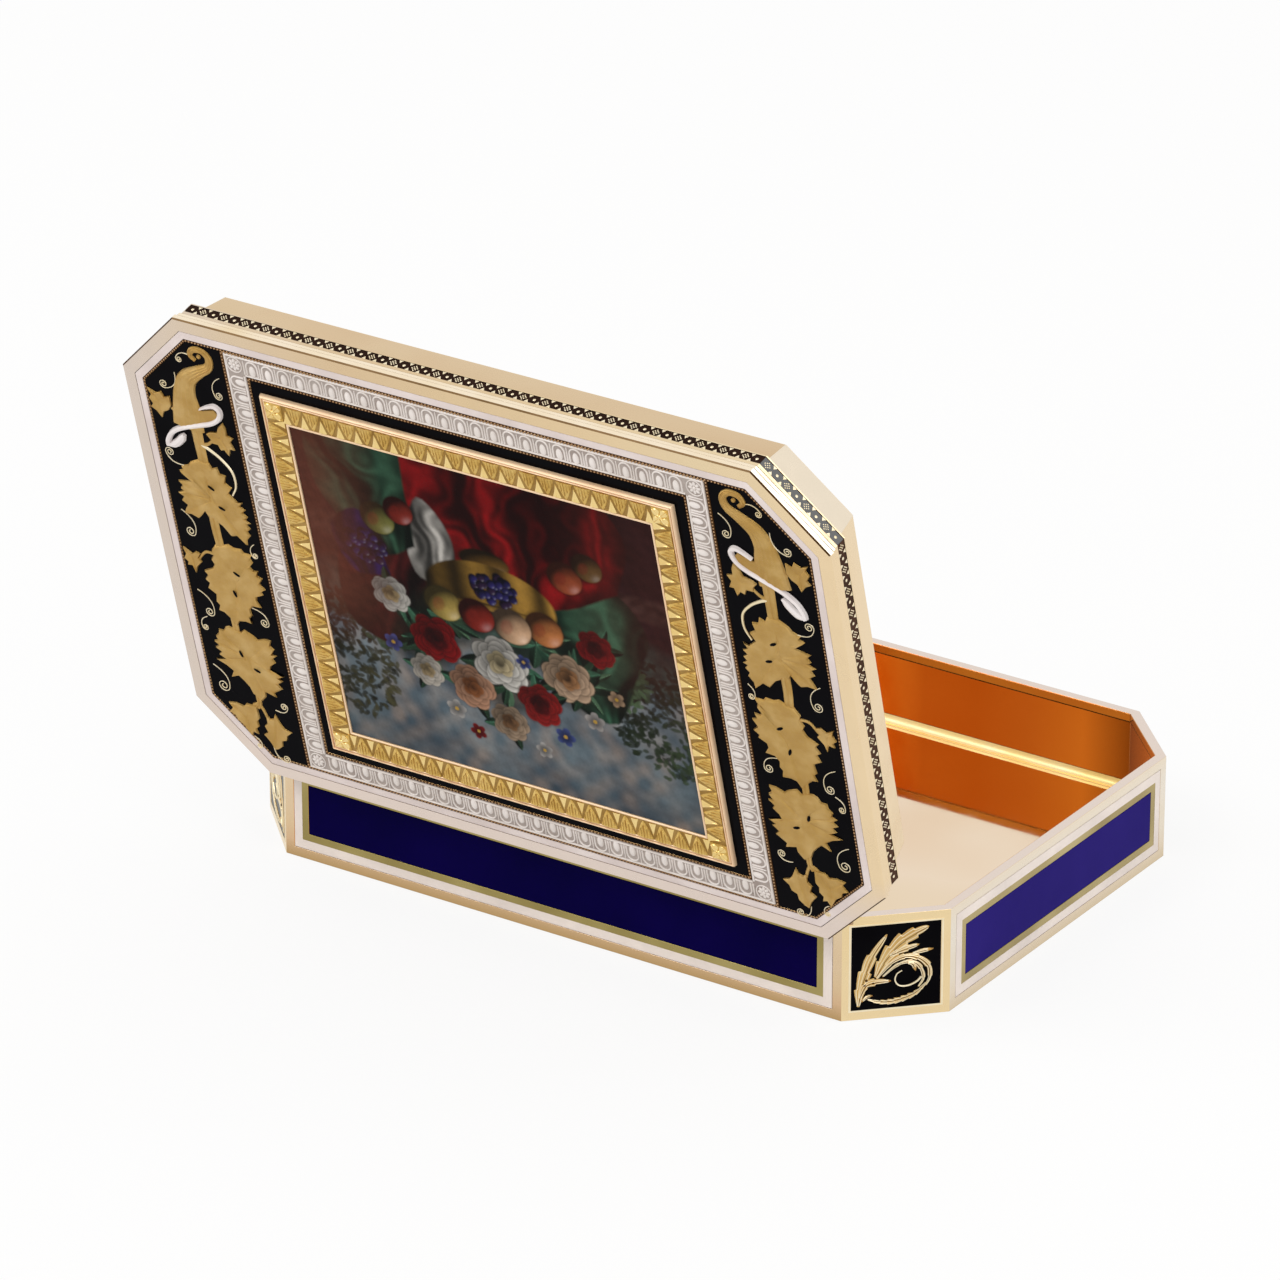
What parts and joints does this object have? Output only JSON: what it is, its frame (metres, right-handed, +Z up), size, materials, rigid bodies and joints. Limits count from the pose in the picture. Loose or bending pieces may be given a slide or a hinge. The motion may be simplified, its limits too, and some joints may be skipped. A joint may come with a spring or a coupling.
{
  "type": "snuff box",
  "caption": "Long octagonal gold and enamel snuff box with a hinged lid standing open: framed picture and vine panels on the lid, blue fields on the walls, scrolls on the corners.",
  "frame": {"origin": "middle of the flat underside of the base", "axes": "+Z up from the table, +X along the long side, hinge at the back on the +Y side, thumb side at -Y; the lid is stored open, as in the picture"},
  "size_m": [0.09, 0.0806, 0.0714],
  "materials": {
    "gold": "satin-polished pale gold",
    "polished_gold": "mirror-polished gold",
    "ornament_gold": "engraved matt gold",
    "blue_enamel": "glossy cobalt enamel",
    "white_enamel": "glossy opaque white enamel",
    "black_enamel": "glossy opaque black enamel",
    "painted_enamel": "glossy painted enamel"
  },
  "bodies": {
    "base": {"base_wall": "gold", "bottom_plate": "gold", "inner_floor": "polished_gold", "blue_panel_front": "blue_enamel", "blue_panel_back": "blue_enamel", "blue_panel_left": "blue_enamel", "blue_panel_right": "blue_enamel", "white_line_front": "white_enamel", "white_line_back": "white_enamel", "white_line_left": "white_enamel", "white_line_right": "white_enamel", "corner_panel_front_left": "black_enamel", "corner_panel_front_right": "black_enamel", "corner_panel_back_left": "black_enamel", "corner_panel_back_right": "black_enamel", "corner_scroll_front_left": "ornament_gold", "corner_scroll_front_right": "ornament_gold", "corner_scroll_back_left": "ornament_gold", "corner_scroll_back_right": "ornament_gold", "base_knuckle_1": "gold", "base_knuckle_2": "gold", "base_knuckle_3": "gold", "base_knuckle_4": "gold", "hinge_pin": "gold"},
    "lid": {"lid_rim": "gold", "check_band": "black_enamel", "lid_bezel": "gold", "lid_plate": "gold", "lid_white_line": "white_enamel", "white_frame": "white_enamel", "black_line": "black_enamel", "vine_panel_left": "black_enamel", "vine_panel_right": "black_enamel", "vine_ornament_left": "ornament_gold", "vine_ornament_right": "ornament_gold", "picture_frame": "ornament_gold", "picture_plaque": "painted_enamel", "lid_knuckle_1": "gold", "lid_knuckle_2": "gold", "lid_knuckle_3": "gold"}
  },
  "joints": [
    {"name": "lid_hinge", "type": "hinge", "parent": "base", "child": "lid", "pos_m": [0, 0.0305, 0.0123], "axis": [1, 0, 0], "range_deg": [0, 104.8]}
  ]
}
